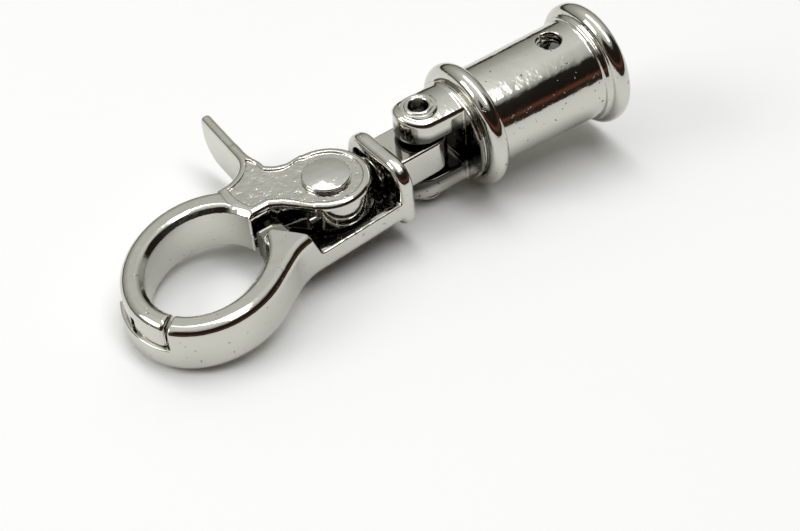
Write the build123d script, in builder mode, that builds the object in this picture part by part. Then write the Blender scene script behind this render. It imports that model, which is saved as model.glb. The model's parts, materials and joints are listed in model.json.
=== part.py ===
from build123d import *

# Lobster clasp cord end: a trigger snap on a swivel, with a hinged cup that grips the end of a cord.
#
# Local frame of the clasp: X runs along the barrel towards the cord, Y across, Z up through the clevis
# pin, with the pin's centre at the local origin. The clasp lies as it rests on a table, on the ring's
# nose and on the front bead, so the local frame is pitched in the row's frame, whose origin is the
# centre of the cord bore at its mouth, where the chamfer ends. Lengths are millimetres, angles degrees.

from math import acos, asin, atan2, cos, degrees, hypot, radians, sin
import os

overlap = 1.0  # how far a cut or a joined block runs past the face that it meets

# ---- cord cup ----
cup_length = 28.0  # clevis pin to the cord's mouth
barrel_front_r = 6.7
barrel_rear_r = 7.0
bead_x = 6.95
bead_r = 8.5
bead_half = 1.36
flange_r = 8.5
flange_half = 1.39
rib_r = 7.35  # small step ring in front of the rear flange
rib_half = 0.45
rib_sunk = 0.15  # how far the rib runs into the flange
cord_r = 5.1
cord_depth = 19.0
mouth_chamfer = 0.6
disc_x = 4.6  # front face of the step disc at the clevis root
disc_thick = 0.65
disc_r = 6.85
groove_r = 6.25
screw_x = 20.6  # set-screw hole through the barrel's top wall
screw_r = 1.65
screw_chamfer = 0.3

# ---- clevis fork ----
ear_r = 6.75  # the ears' outer faces carry on the barrel's curve
ear_half_width = 3.4
ear_inner = 3.03  # half of the gap between the ears
ear_edge = 0.45
fork_root_r = 0.9
boss_r = 2.35  # flat ring round each end of the pin
boss_rise = 0.06

# ---- clevis pin, a semi-tubular rivet ----
pin_r = 1.6
pin_fit = 0.05
pin_head_r = 2.3
pin_head_h = 0.6
pin_flare_r = 1.85
pin_flare_h = 0.35
pin_rim_h = 0.12
pin_hole_r = 1.3
pin_hole_depth = 2.4

# ---- swivel tongue ----
tongue_half_width = 3.3
tongue_half_height = 2.4
tongue_edge = 0.4
tongue_gap = 0.3  # between the tongue and the collar
shank_r = 1.7
shank_fit = 0.06
stud_head_r = 2.5
stud_head_h = 0.85
stud_head_edge = 0.3

# ---- hook: ring ----
hook_yaw = 2.4  # the hook stands a little round the clevis pin
ring_x = -34.0
ring_y = -2.2
opening_a = 8.9
opening_b = 7.0
opening_turn = 35.0
band = 3.4
half_height = 3.4
outer_round = 1.1
inner_chamfer = 0.75
split_angle = 216.0  # where the trigger's tip meets the body
split_gap = 2.8
ledge_angle = 158.0  # where the half lap under the trigger's tip ends
lap_z = 0.0
lap_gap = 0.12

# ---- hook: body behind the ring ----
pivot_x = -14.45
pivot_y = 0.2
wall_front_x = -23.3
wall_front_y = -7.75
wall_rear_y = -7.0
wall_blend_r = 9.0
wall_thick = 1.0
wall_top = -0.2
floor_z = -1.0
hub_r = 6.0  # far side of the floor, round the pivot
shoulder_x = -24.8
shoulder_y = -3.1
lug_x = -22.3
lug_y = -0.3
lug_top = 1.4
notch_x = -22.2
notch_run = 1.3
notch_lead = 0.1  # share of its slope that the notch runs on above the top
wall_slack = 0.2  # the channel is this much narrower beside the shoulder

# ---- hook: collar ----
collar_rear_x = -6.3
collar_thick = 2.1
collar_near_y = -7.3
collar_far_y = 4.8
collar_top = 4.9
collar_bottom = -4.3
collar_top_corner = 3.4
collar_bottom_corner = 1.5
collar_edge = 0.75
collar_web = 1.1  # wall that carries the swivel
collar_rim = 1.7  # wall round the recess in the collar's front

# ---- trigger lever ----
lever_boss_r = 5.7
lever_under = -0.6
lever_near_y = 0.6
lever_round = 0.6
tip_taper = 0.5
heel_x = -22.8
elbow_x = -21.5
elbow_y = -0.3
neck_angle = 52.0  # where the ring leaves the trigger's plate on the far side
plate_far_y = 7.7
flare_near_r = 4.2
flare_far_r = 3.6
plate_recess = 0.22
plate_rim = 1.15
field_corner = 0.45
pivot_r = 1.9
pivot_fit = 0.06
tab_x = -20.35
tab_y = 8.6
tab_lean = 4.0
tab_length = 12.2
tab_sunk = 3.0
tab_thick = 1.4
tab_bottom = -2.9
tab_corner = 3.8
tab_top_corner = 0.8
tab_edge = 0.5

# ---- pivot rivet ----
rivet_head_r = 3.1
rivet_rim_h = 0.3
rivet_head_edge = 0.3
rivet_dome_h = 0.2
rivet_dome_slope = 8.0
rivet_gap = 0.04
rivet_foot_r = 2.7
rivet_foot_h = 0.5

# ---- torsion spring in the trigger's boss ----
spring_r = 3.55
wire_r = 0.36
wire_gap = 0.05
spring_pitch = 0.8
spring_turns = 2.25
spring_leg = 5.2
pocket_inner_r = 2.7
pocket_outer_r = 4.45
pocket_top = 1.9
notch_fit = 0.15
notch_short = 3.0  # how far the leg's notch stops short of the boss's far side
tang_bend = 0.7
tang_depth = 1.2
tang_slot_sweep = 45.0
tang_fit = 0.12

# ---- how the clasp lies ----
# The table touches the front bead and the front edge of the ring's flat underside.
band_a = opening_a + band
band_b = opening_b + band
bead_tube_r = bead_r - bead_half
flange_tube_r = flange_r - flange_half
lying_turn = radians(opening_turn + hook_yaw)
ring_middle_x = ring_x * cos(radians(hook_yaw)) - ring_y * sin(radians(hook_yaw))
nose_x = ring_middle_x - hypot(band_a * cos(lying_turn), band_b * sin(lying_turn)) + outer_round
drop = bead_tube_r - half_height
run = bead_x - nose_x
pitch = atan2(drop, run) + asin(bead_half / hypot(drop, run))
mouth_x = cup_length - mouth_chamfer
lying = Plane(
    origin=(-mouth_x * cos(pitch), 0, -mouth_x * sin(pitch)),
    x_dir=(cos(pitch), 0, sin(pitch)),
    z_dir=(-sin(pitch), 0, cos(pitch)),
)
hook = lying.rotated((0, 0, hook_yaw))

collar_front_x = collar_rear_x - collar_thick
collar_mid_y = (collar_near_y + collar_far_y) / 2
stud_seat_x = collar_rear_x - collar_web
pivot = (pivot_x, pivot_y)
ring_middle = (ring_x, ring_y)
plate_top = half_height - plate_recess
spring_foot_z = floor_z + wire_gap + wire_r
spring_top_z = spring_foot_z + spring_pitch * spring_turns


def across(base, x):
    """Plane square to the base's X at x: its own x runs along the base's Y, and its own y along Z."""
    return Plane(origin=base.from_local_coords((x, 0, 0)), x_dir=base.y_dir, z_dir=base.x_dir)


def upright(base, x=0.0, y=0.0):
    """Plane through (x, y) that holds the base's X and Z, as its own x and y."""
    return Plane(origin=base.from_local_coords((x, y, 0)), x_dir=base.x_dir, z_dir=-base.y_dir)


def upright_axis(base, x=0.0, y=0.0):
    """Axis along the base's Z through (x, y)."""
    return Axis(base.from_local_coords((x, y, 0)), base.z_dir)


def polar(middle, radius, angle):
    """Point at a radius and an angle from a middle."""
    return (middle[0] + radius * cos(radians(angle)), middle[1] + radius * sin(radians(angle)))


def oval_parameter(angle):
    """Eccentric angle of the point of the ring's outline that is seen from its middle at an angle."""
    seen = radians(angle - opening_turn)
    return degrees(atan2(band_a * sin(seen), band_b * cos(seen))) % 360


def oval_point(angle, shift):
    """Point of the ring's outline, moved along X, that is seen from its middle at an angle."""
    way = radians(oval_parameter(angle))
    turned = Vector(band_a * cos(way), band_b * sin(way)).rotate(Axis.Z, opening_turn)
    return (ring_x + shift + turned.X, ring_y + turned.Y)


def tangent_parameter(x, y):
    """Eccentric angle of the near point of the ring's outline where a line from (x, y) touches it."""
    turn = radians(opening_turn)
    across_x = ((x - ring_x) * cos(turn) + (y - ring_y) * sin(turn)) / band_a
    across_y = ((y - ring_y) * cos(turn) - (x - ring_x) * sin(turn)) / band_b
    return degrees(atan2(across_y, across_x) - acos(1 / hypot(across_x, across_y))) % 360


def local(base, edge):
    """An edge's middle in a base's own coordinates."""
    return base.to_local_coords(edge.center(CenterOf.BOUNDING_BOX))


os.makedirs("parts", exist_ok=True)

# ================= clevis cup: barrel, beads and fork in one casting =================
with BuildPart() as fork:
    with BuildSketch(lying):
        with Locations(((disc_x + disc_thick / 2) / 2, 0)):
            Rectangle(disc_x + disc_thick / 2, 2 * ear_half_width)
        Circle(ear_half_width)
    extrude(amount=ear_r + overlap, both=True)
    with BuildSketch(across(lying, -ear_half_width - overlap)):
        Circle(ear_r)
    extrude(amount=ear_half_width + disc_x + 3 * overlap, mode=Mode.INTERSECT)
    rims = fork.edges().filter_by(lambda e: abs(local(lying, e).Z) > ear_inner and local(lying, e).X < disc_x)
    fillet(rims, ear_edge)
    for side in (1, -1):
        with BuildSketch(lying):
            Circle(boss_r)
        extrude(amount=side * (ear_r + boss_rise))
    with BuildSketch(upright(lying)):
        with Locations(((disc_x - ear_half_width - overlap) / 2, 0)):
            Rectangle(disc_x + ear_half_width + overlap, 2 * ear_inner)
        fillet(vertices().group_by(Axis.X)[-1], fork_root_r)
    extrude(amount=ear_half_width + overlap, both=True, mode=Mode.SUBTRACT)

flange_x = cup_length - flange_half
rib_x = flange_x - flange_half - rib_half + rib_sunk
with BuildPart() as clevis_cup:
    with BuildSketch(upright(lying)):
        with BuildLine():
            Polyline(
                (disc_x, 0),
                (disc_x, disc_r),
                (disc_x + disc_thick, disc_r),
                (disc_x + disc_thick, groove_r),
                (bead_x, groove_r),
                (bead_x, barrel_front_r),
                (flange_x, barrel_rear_r),
                (flange_x, flange_tube_r),
                (cup_length, flange_tube_r),
                (cup_length, 0),
                close=True,
            )
        make_face()
        with Locations((bead_x, bead_tube_r)):
            Circle(bead_half)
        with Locations((flange_x, flange_tube_r)):
            Circle(flange_half)
        with Locations((rib_x, rib_r / 2)):
            Rectangle(2 * rib_half, rib_r)
        with BuildLine():
            Polyline(
                (cup_length - cord_depth, 0),
                (cup_length - cord_depth, cord_r),
                (mouth_x, cord_r),
                (cup_length, cord_r + mouth_chamfer),
                (cup_length + overlap, cord_r + mouth_chamfer),
                (cup_length + overlap, 0),
                close=True,
            )
        make_face(mode=Mode.SUBTRACT)
    revolve(axis=Axis(lying.origin, lying.x_dir))
    add(fork.part)
    with BuildSketch(lying):
        Circle(pin_r)
    extrude(amount=ear_r + overlap, both=True, mode=Mode.SUBTRACT)
    with BuildSketch(lying.offset(ear_r + boss_rise - pin_flare_h)):
        Circle(pin_r)
    with BuildSketch(lying.offset(ear_r + boss_rise)):
        Circle(pin_flare_r)
    loft(mode=Mode.SUBTRACT)
    with BuildSketch(lying):
        with Locations((screw_x, 0)):
            Circle(screw_r)
    extrude(amount=barrel_rear_r + overlap, mode=Mode.SUBTRACT)
    with BuildSketch(lying.offset(barrel_rear_r - screw_chamfer)):
        with Locations((screw_x, 0)):
            Circle(screw_r)
    with BuildSketch(lying.offset(barrel_rear_r)):
        with Locations((screw_x, 0)):
            Circle(screw_r + screw_chamfer)
    loft(mode=Mode.SUBTRACT)
clevis_cup.part.label = "clevis_cup"
export_step(clevis_cup.part, "parts/clevis_cup.step")

# ================= clevis pin: head below, rolled rim above =================
pin_top = ear_r + boss_rise
with BuildPart() as clevis_pin:
    with BuildSketch(upright(lying)):
        with BuildLine():
            base_line = Polyline(
                (0, -pin_top - pin_head_h),
                (pin_head_r - pin_head_h, -pin_top - pin_head_h),
            )
            head_edge = RadiusArc(base_line @ 1, (pin_head_r, -pin_top), -pin_head_h)
            rim_foot = Polyline(
                head_edge @ 1,
                (pin_r, -pin_top),
                (pin_r, pin_top - pin_flare_h),
                (pin_flare_r, pin_top),
            )
            rim = ThreePointArc(
                rim_foot @ 1,
                ((pin_flare_r + pin_hole_r) / 2, pin_top + pin_rim_h),
                (pin_hole_r, pin_top),
            )
            Polyline(
                rim @ 1,
                (pin_hole_r, pin_top - pin_hole_depth),
                (0, pin_top - pin_hole_depth - pin_hole_r / 2),
                (0, -pin_top - pin_head_h),
            )
        make_face()
    revolve(axis=upright_axis(lying))
clevis_pin.part.label = "clevis_pin"
export_step(clevis_pin.part, "parts/clevis_pin.step")

# ================= swivel tongue: flat eye on a riveted stud =================
tongue_x = collar_rear_x + tongue_gap
stud_x = stud_seat_x - shank_fit
with BuildPart() as swivel_tongue:
    with BuildSketch(hook):
        with Locations((tongue_x / 2, 0)):
            Rectangle(-tongue_x, 2 * tongue_half_width)
        Circle(tongue_half_width)
    extrude(amount=tongue_half_height, both=True)
    fillet(edges().filter_by(lambda e: abs(local(hook, e).Z) > tongue_half_height - tongue_edge), tongue_edge)
    with BuildSketch(hook):
        Circle(pin_r + pin_fit)
    extrude(amount=tongue_half_height, both=True, mode=Mode.SUBTRACT)
    with BuildSketch(across(hook, tongue_x)):
        Circle(shank_r)
    extrude(amount=stud_x - tongue_x)
    with BuildSketch(across(hook, stud_x)):
        Circle(stud_head_r)
    extrude(amount=-stud_head_h)
    fillet(edges().filter_by(lambda e: local(hook, e).X < stud_x - stud_head_h / 2), stud_head_edge)
swivel_tongue.part.label = "swivel_tongue"
export_step(swivel_tongue.part, "parts/swivel_tongue.step")

# ================= the ring's opening, with its chamfered edges, as a cutting tool =================
with BuildPart() as eye:
    with BuildSketch(hook):
        with Locations(ring_middle):
            Ellipse(opening_a, opening_b, rotation=opening_turn)
    extrude(amount=half_height + overlap, both=True)
    for side in (1, -1):
        for height, grow in ((half_height - inner_chamfer, 0), (half_height, inner_chamfer)):
            with BuildSketch(hook.offset(side * height)):
                with Locations(ring_middle):
                    Ellipse(opening_a + grow, opening_b + grow, rotation=opening_turn)
        loft()

# ================= collar: end wall of the hook, which carries the swivel =================
with BuildPart() as collar:
    with BuildSketch(across(hook, collar_rear_x)):
        with Locations((collar_mid_y, (collar_top + collar_bottom) / 2)):
            Rectangle(collar_far_y - collar_near_y, collar_top - collar_bottom)
        fillet(vertices().group_by(Axis.Y)[-1], collar_top_corner)
        fillet(vertices().group_by(Axis.Y)[0], collar_bottom_corner)
    extrude(amount=-collar_thick)
    face_rims = edges().filter_by(
        lambda e: abs(local(hook, e).X - (collar_front_x + collar_rear_x) / 2) > collar_thick / 4
    )
    fillet(face_rims, collar_edge)

# ================= hook body: near half of the ring, half lap, lug, channel floor and collar =================
with BuildPart() as hook_body:
    with BuildSketch(hook):
        with BuildLine():
            nose = EllipticalCenterArc(
                ring_middle,
                band_a,
                band_b,
                start_angle=oval_parameter(ledge_angle),
                arc_size=tangent_parameter(wall_front_x, wall_front_y) - oval_parameter(ledge_angle),
                rotation=opening_turn,
            )
            flank = FilletPolyline(
                nose @ 1,
                (wall_front_x, wall_front_y),
                (collar_front_x, wall_rear_y),
                radius=wall_blend_r,
            )
            rear = Polyline(flank @ 1, (collar_front_x, collar_far_y - collar_edge), (pivot_x, pivot_y + hub_r))
            hub = CenterArc(pivot, hub_r, 90, 90)
            Polyline(
                hub @ 1,
                (pivot_x - hub_r, lug_y),
                (ring_x + opening_b, lug_y),
                ring_middle,
                nose @ 0,
            )
        make_face()
    extrude(amount=half_height, both=True)
    outline = edges().filter_by(lambda e: abs(abs(local(hook, e).Z) - half_height) < 0.01)
    near_side = outline.filter_by(
        lambda e: local(hook, e).Y < wall_rear_y / 2 and local(hook, e).X < collar_front_x - collar_edge / 4
    )
    fillet(near_side, outer_round)
    # the half lap that the trigger's tip closes on
    with BuildSketch(hook.offset(lap_z)):
        with BuildLine():
            Polyline(
                ring_middle,
                polar(ring_middle, 2 * band_a, split_angle),
                polar(ring_middle, 2 * band_a, (split_angle + ledge_angle) / 2),
                polar(ring_middle, 2 * band_a, ledge_angle - split_gap),
                close=True,
            )
        make_face()
    extrude(amount=half_height + overlap, mode=Mode.SUBTRACT)
    # the nook behind the shoulder, down to the lug's top, and the channel down to its floor
    with BuildSketch(hook.offset(lug_top)):
        with BuildLine():
            Polyline(
                (ring_x + opening_b, shoulder_y),
                (shoulder_x, shoulder_y),
                (lug_x, shoulder_y),
                (lug_x, lug_y + overlap),
                (ring_x + opening_b, lug_y + overlap),
                close=True,
            )
        make_face()
    extrude(amount=half_height, mode=Mode.SUBTRACT)
    with BuildSketch(hook.offset(floor_z)):
        with BuildLine():
            Polyline(
                (shoulder_x, shoulder_y),
                (notch_x, wall_front_y + wall_thick + wall_slack),
                (collar_front_x + overlap, wall_rear_y + wall_thick),
                (collar_front_x + overlap, hub_r + overlap),
                (lug_x, hub_r + overlap),
                (lug_x, shoulder_y),
                close=True,
            )
        make_face()
    extrude(amount=2 * half_height, mode=Mode.SUBTRACT)
    with BuildSketch(upright(hook)):
        with BuildLine():
            Polyline(
                (notch_x - notch_lead * notch_run, half_height + notch_lead * (half_height - wall_top)),
                (notch_x + notch_run, wall_top),
                (collar_front_x + overlap, wall_top),
                (collar_front_x + overlap, half_height + overlap),
                close=True,
            )
        make_face()
    extrude(amount=2 * hub_r, both=True, mode=Mode.SUBTRACT)
    add(eye.part, mode=Mode.SUBTRACT)
    add(collar.part)
    # the recess in the collar's front leaves room for the stud's head
    with BuildSketch(across(hook, stud_seat_x)):
        with Locations((collar_mid_y, (collar_top - collar_rim + floor_z) / 2)):
            Rectangle(collar_far_y - collar_near_y - 2 * collar_rim, collar_top - collar_rim - floor_z)
        fillet(vertices().group_by(Axis.Y)[-1], collar_top_corner - collar_rim)
        Circle(stud_head_r + tongue_gap)
    extrude(amount=collar_web - collar_thick - wall_slack, mode=Mode.SUBTRACT)
    with BuildSketch(across(hook, collar_rear_x)):
        Circle(shank_r + shank_fit)
    extrude(amount=-collar_thick, mode=Mode.SUBTRACT)
    with BuildSketch(hook.offset(floor_z)):
        with Locations(pivot):
            Circle(pivot_r)
    extrude(amount=-half_height, mode=Mode.SUBTRACT)
    # arc slot for the spring's tang
    tang_reach = hypot(spring_r, tang_bend)
    tang_angle = degrees(atan2(tang_bend, spring_r))
    with BuildSketch(hook.offset(floor_z)):
        with BuildLine() as slot_line:
            CenterArc(pivot, (spring_r + tang_reach) / 2, tang_angle - tang_slot_sweep, tang_slot_sweep)
        SlotArc(slot_line.edge(), 2 * (wire_r + tang_fit))
    extrude(amount=-tang_depth - tang_fit, mode=Mode.SUBTRACT)
hook_body.part.label = "hook_body"
export_step(hook_body.part, "parts/hook_body.step")

# ================= trigger lever: far half of the ring, plate, boss and thumb tab =================
tab_foot = (tab_x, tab_y)
tab_tip = polar(tab_foot, 1, 90 - tab_lean)
tab_beside = polar(tab_foot, 1, -tab_lean)
tab_plane = Plane(
    origin=hook.from_local_coords((*tab_foot, 0)),
    x_dir=hook.from_local_coords((*tab_tip, 0)) - hook.from_local_coords((*tab_foot, 0)),
    z_dir=hook.from_local_coords((*tab_beside, 0)) - hook.from_local_coords((*tab_foot, 0)),
)
with BuildPart() as thumb_tab:
    with BuildSketch(tab_plane):
        with Locations(((tab_length - tab_sunk) / 2, (half_height + tab_bottom) / 2)):
            Rectangle(tab_length + tab_sunk, half_height - tab_bottom)
        fillet(vertices().group_by(Axis.X)[-1].sort_by(Axis.Y)[0], tab_corner)
        fillet(vertices().group_by(Axis.X)[-1].sort_by(Axis.Y)[-1], tab_top_corner)
    extrude(amount=tab_thick / 2, both=True)
    broad_rims = edges().filter_by(lambda e: abs(local(tab_plane, e).Z) > tab_thick / 4)
    fillet(broad_rims, tab_edge)
elbow_reach = hypot(elbow_x - pivot_x, elbow_y - pivot_y)
elbow_angle = degrees(atan2(elbow_y - pivot_y, elbow_x - pivot_x)) % 360
boss_start = elbow_angle + degrees(acos(lever_boss_r / elbow_reach))
tab_way = Vector(sin(radians(tab_lean)), cos(radians(tab_lean)))
tab_side = Vector(tab_way.Y, -tab_way.X)
tab_right = Vector(*tab_foot) + tab_side * (tab_thick / 2) + tab_way * flare_near_r
tab_left = Vector(*tab_foot) - tab_side * (tab_thick / 2) + tab_way * flare_near_r
neck = oval_point(neck_angle, tip_taper)
with BuildPart() as plate:
    with BuildSketch(hook.offset(lever_under)):
        with BuildLine():
            near_edge = Polyline(
                neck,
                (ring_x + opening_b, lever_near_y),
                (heel_x, lever_near_y),
                (elbow_x, elbow_y),
                polar(pivot, lever_boss_r, boss_start),
            )
            boss = CenterArc(pivot, lever_boss_r, boss_start, 450 - boss_start)
            near_flare = FilletPolyline(
                boss @ 1,
                tab_right - tab_way * ((tab_right.Y - pivot_y - lever_boss_r) / tab_way.Y),
                tab_right,
                radius=flare_near_r,
            )
            Line(near_flare @ 1, tab_left)
            FilletPolyline(
                tab_left,
                tab_left - tab_way * ((tab_left.Y - plate_far_y) / tab_way.Y),
                neck,
                radius=flare_far_r,
            )
        make_face()
    extrude(amount=half_height - lever_under)
    plate_line = edges().filter_by(
        lambda e: local(hook, e).Z > half_height - 0.01
        and local(hook, e).X > neck[0] + 0.5
        and local(hook, e).Y < tab_right.Y - 0.5
    )
    fillet(plate_line, lever_round)

with BuildPart() as trigger_lever:
    with BuildSketch(hook):
        with BuildLine():
            far_ring = EllipticalCenterArc(
                (ring_x + tip_taper, ring_y),
                band_a,
                band_b,
                start_angle=oval_parameter(neck_angle),
                arc_size=oval_parameter(split_angle - split_gap) - oval_parameter(neck_angle),
                rotation=opening_turn,
            )
            Polyline(far_ring @ 1, ring_middle, (ring_x + opening_b, lever_near_y), far_ring @ 0)
        make_face()
    extrude(amount=half_height, both=True)
    ring_line = edges().filter_by(GeomType.ELLIPSE).filter_by(lambda e: abs(local(hook, e).Z) > lever_round)
    fillet(ring_line, outer_round)
    with BuildSketch(hook):
        with BuildLine():
            Polyline(
                (ring_x + opening_b, lever_near_y),
                (heel_x, lever_near_y),
                (heel_x, plate_far_y - lever_round),
                neck,
                close=True,
            )
        make_face()
    extrude(amount=-half_height)
    add(plate.part)
    # the tip closes on the half lap
    with BuildSketch(hook.offset(lap_z + lap_gap)):
        with BuildLine():
            Polyline(
                ring_middle,
                polar(ring_middle, 2 * band_a, split_angle + split_gap),
                polar(ring_middle, 2 * band_a, (split_angle + ledge_angle) / 2),
                polar(ring_middle, 2 * band_a, ledge_angle - split_gap),
                close=True,
            )
        make_face()
    extrude(amount=-half_height - overlap, mode=Mode.SUBTRACT)
    add(eye.part, mode=Mode.SUBTRACT)
    # recessed field of the plate, inside its raised rim
    with BuildSketch(hook.offset(plate_top)):
        with BuildLine():
            Polyline(
                (heel_x - 3.2, plate_far_y - plate_rim),
                (tab_x - plate_rim, plate_far_y - 0.8 * plate_rim),
                (tab_x, tab_y + 1.0),
                (tab_x + 1.5 * plate_rim, tab_y - 1.4 * plate_rim),
                (pivot_x, pivot_y + lever_boss_r - plate_rim),
                (pivot_x - 1.0, pivot_y - lever_boss_r + plate_rim),
                (elbow_x + 0.4, elbow_y + plate_rim),
                (heel_x + 0.4, lever_near_y + plate_rim),
                (heel_x - 1.9, lever_near_y + 1.3 * plate_rim),
                close=True,
            )
        make_face()
        fillet(vertices(), field_corner)
        with Locations(pivot):
            Circle(lever_boss_r - plate_rim)
    extrude(amount=plate_recess + overlap, mode=Mode.SUBTRACT)
    add(thumb_tab.part)
    # spring pocket, the notch for the spring's leg, and the pivot's bore
    with BuildSketch(hook.offset(lever_under)):
        with Locations(pivot):
            Circle(pocket_outer_r)
            Circle(pocket_inner_r, mode=Mode.SUBTRACT)
    extrude(amount=pocket_top - lever_under, mode=Mode.SUBTRACT)
    with BuildSketch(hook.offset(lever_under)):
        with Locations((pivot_x - lever_boss_r, pivot_y - spring_r)):
            Rectangle(2 * lever_boss_r - notch_short, 2 * (wire_r + notch_fit))
    extrude(amount=spring_top_z + wire_r + 2 * notch_fit - lever_under, mode=Mode.SUBTRACT)
    with BuildSketch(hook):
        with Locations(pivot):
            Circle(pivot_r + pivot_fit)
    extrude(amount=half_height, both=True, mode=Mode.SUBTRACT)

trigger_lever.part.label = "trigger_lever"
export_step(trigger_lever.part, "parts/trigger_lever.step")

# ================= pivot rivet: low domed head, shank and peened foot =================
head_z = plate_top + rivet_gap
head_rim_z = head_z + rivet_rim_h
foot_z = -half_height - rivet_foot_h
with BuildPart() as pivot_rivet:
    with BuildSketch(upright(hook, pivot_x, pivot_y)):
        with BuildLine():
            foot_line = Line((0, foot_z), (rivet_foot_r - rivet_foot_h, foot_z))
            foot_edge = JernArc(foot_line @ 1, foot_line % 1, rivet_foot_h, 90)
            side_line = Polyline(
                foot_edge @ 1,
                (pivot_r, -half_height),
                (pivot_r, head_z),
                (rivet_head_r, head_z),
                (rivet_head_r, head_rim_z),
            )
            head_edge = JernArc(side_line @ 1, (0, 1), rivet_head_edge, 90 - rivet_dome_slope)
            dome = TangentArc((0, head_rim_z + rivet_head_edge + rivet_dome_h), head_edge @ 1, tangent=(1, 0))
            Line(dome @ 0, foot_line @ 0)
        make_face()
    revolve(axis=upright_axis(hook, pivot_x, pivot_y))
pivot_rivet.part.label = "pivot_rivet"
export_step(pivot_rivet.part, "parts/pivot_rivet.step")

# ================= torsion spring: tang in the floor, coils, leg in the trigger's notch =================
# It is made about its own axis, with its first coil in the XY plane, and then set in its pocket.
tang_foot = floor_z + wire_gap - tang_depth - spring_foot_z
with BuildPart() as spring_coils:
    with BuildLine() as spring_line:
        coils = Helix(spring_pitch, spring_pitch * spring_turns, spring_r, lefthand=True)
        Line(coils @ 1, coils @ 1 + (coils % 1) * spring_leg)
        tang_head = coils @ 0 - (coils % 0) * tang_bend
        bend = TangentArc(coils @ 0, (tang_head.X, tang_head.Y, -tang_bend), tangent=-(coils % 0))
        Line(bend @ 1, (tang_head.X, tang_head.Y, tang_foot))
    with BuildSketch(Plane(origin=spring_line.wire() @ 0, z_dir=spring_line.wire() % 0)):
        Circle(wire_r)
    sweep(path=spring_line.wire())
spring_seat = Plane(
    origin=hook.from_local_coords((pivot_x, pivot_y, spring_foot_z)), x_dir=hook.x_dir, z_dir=hook.z_dir
)
torsion_spring = spring_coils.part.moved(spring_seat.location)
torsion_spring.label = "torsion_spring"
export_step(torsion_spring, "parts/torsion_spring.step")
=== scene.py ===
"""Surfaces, finishes and stage for a lobster clasp cord end.

Each piece is a closed surface worked out from a distance formula: a function of x, y and z that is
negative inside the metal, zero on its skin and positive outside. The formulas are written in
millimetres in the clasp's own frame, whose origin is the middle of the clevis pin, with X along the
barrel towards the cord, Z up through the pin and Y across. The hook's formulas use the same origin
with X along the swivel.
"""

import json
import math

import bmesh
import bpy
import numpy as np
from mathutils import Matrix, Vector


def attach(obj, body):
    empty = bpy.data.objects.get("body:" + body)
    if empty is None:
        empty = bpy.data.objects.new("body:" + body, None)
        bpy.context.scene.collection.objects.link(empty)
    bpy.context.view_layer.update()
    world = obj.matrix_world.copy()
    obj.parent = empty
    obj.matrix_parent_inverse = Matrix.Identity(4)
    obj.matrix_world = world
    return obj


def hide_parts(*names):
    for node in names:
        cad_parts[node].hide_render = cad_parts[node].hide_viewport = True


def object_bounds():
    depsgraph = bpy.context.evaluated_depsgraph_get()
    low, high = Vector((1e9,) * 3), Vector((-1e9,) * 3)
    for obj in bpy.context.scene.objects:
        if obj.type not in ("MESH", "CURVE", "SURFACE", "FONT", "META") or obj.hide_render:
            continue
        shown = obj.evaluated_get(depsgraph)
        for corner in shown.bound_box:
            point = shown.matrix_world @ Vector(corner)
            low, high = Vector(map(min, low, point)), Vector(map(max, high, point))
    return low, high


bl_info = {
    "name": "Lobster clasp cord end",
    "version": (1, 0, 0),
    "blender": (4, 5, 0),
    "location": "View3D > Sidebar > Clasp",
    "description": "Builds the surfaces, finishes and stage of a swivel trigger snap with a cord cup",
    "category": "Object",
}

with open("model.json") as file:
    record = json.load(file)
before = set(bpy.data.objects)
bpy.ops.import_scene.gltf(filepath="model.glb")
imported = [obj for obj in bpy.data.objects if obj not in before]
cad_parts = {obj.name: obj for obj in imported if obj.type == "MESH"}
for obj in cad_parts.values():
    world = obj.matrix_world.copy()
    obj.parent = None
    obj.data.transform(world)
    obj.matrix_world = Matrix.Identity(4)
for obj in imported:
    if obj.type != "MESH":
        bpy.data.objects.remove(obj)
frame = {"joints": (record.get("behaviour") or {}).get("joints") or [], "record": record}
cad_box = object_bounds()

MM = 0.001
JOINTS = {joint["name"]: joint for joint in frame["joints"]}
MOUNTS = {mount["name"]: mount for mount in frame["record"]["mounts"]}
PIN = np.array(JOINTS["clevis_hinge"]["pos_m"])
UP = np.array(JOINTS["clevis_hinge"]["axis"])


def basis(way):
    """Rows are the X, Y and Z of a frame whose X is the given direction and whose Z is the pin's axis."""
    way = np.array(way)
    return np.array([way, np.cross(UP, way), UP])


CUP = basis(MOUNTS["cord_bore"]["axis"])
HOOK = basis(JOINTS["swivel"]["axis"])


def local(point, rows):
    """A point of the row's frame, in metres, as millimetres in the frame with those rows."""
    return rows @ (np.array(point) - PIN) / MM


PIVOT = local(JOINTS["trigger_pivot"]["pos_m"], HOOK)[:2]
MOUTH_X = local(MOUNTS["cord_bore"]["pos_m"], CUP)[0]
SCREW_X = local(MOUNTS["set_screw_hole"]["pos_m"], CUP)[0]


# ---------------------------------------------------------------- sizes and colours


def length(label, about, size_mm):
    """A length property whose default is given in millimetres."""
    return bpy.props.FloatProperty(
        name=label, description=about, default=size_mm * MM, min=0.0, unit="LENGTH", precision=5
    )


def tint(label, about, colour):
    """A colour property."""
    return bpy.props.FloatVectorProperty(
        name=label, description=about, default=colour, subtype="COLOR", size=3, min=0.0, max=1.0
    )


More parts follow.
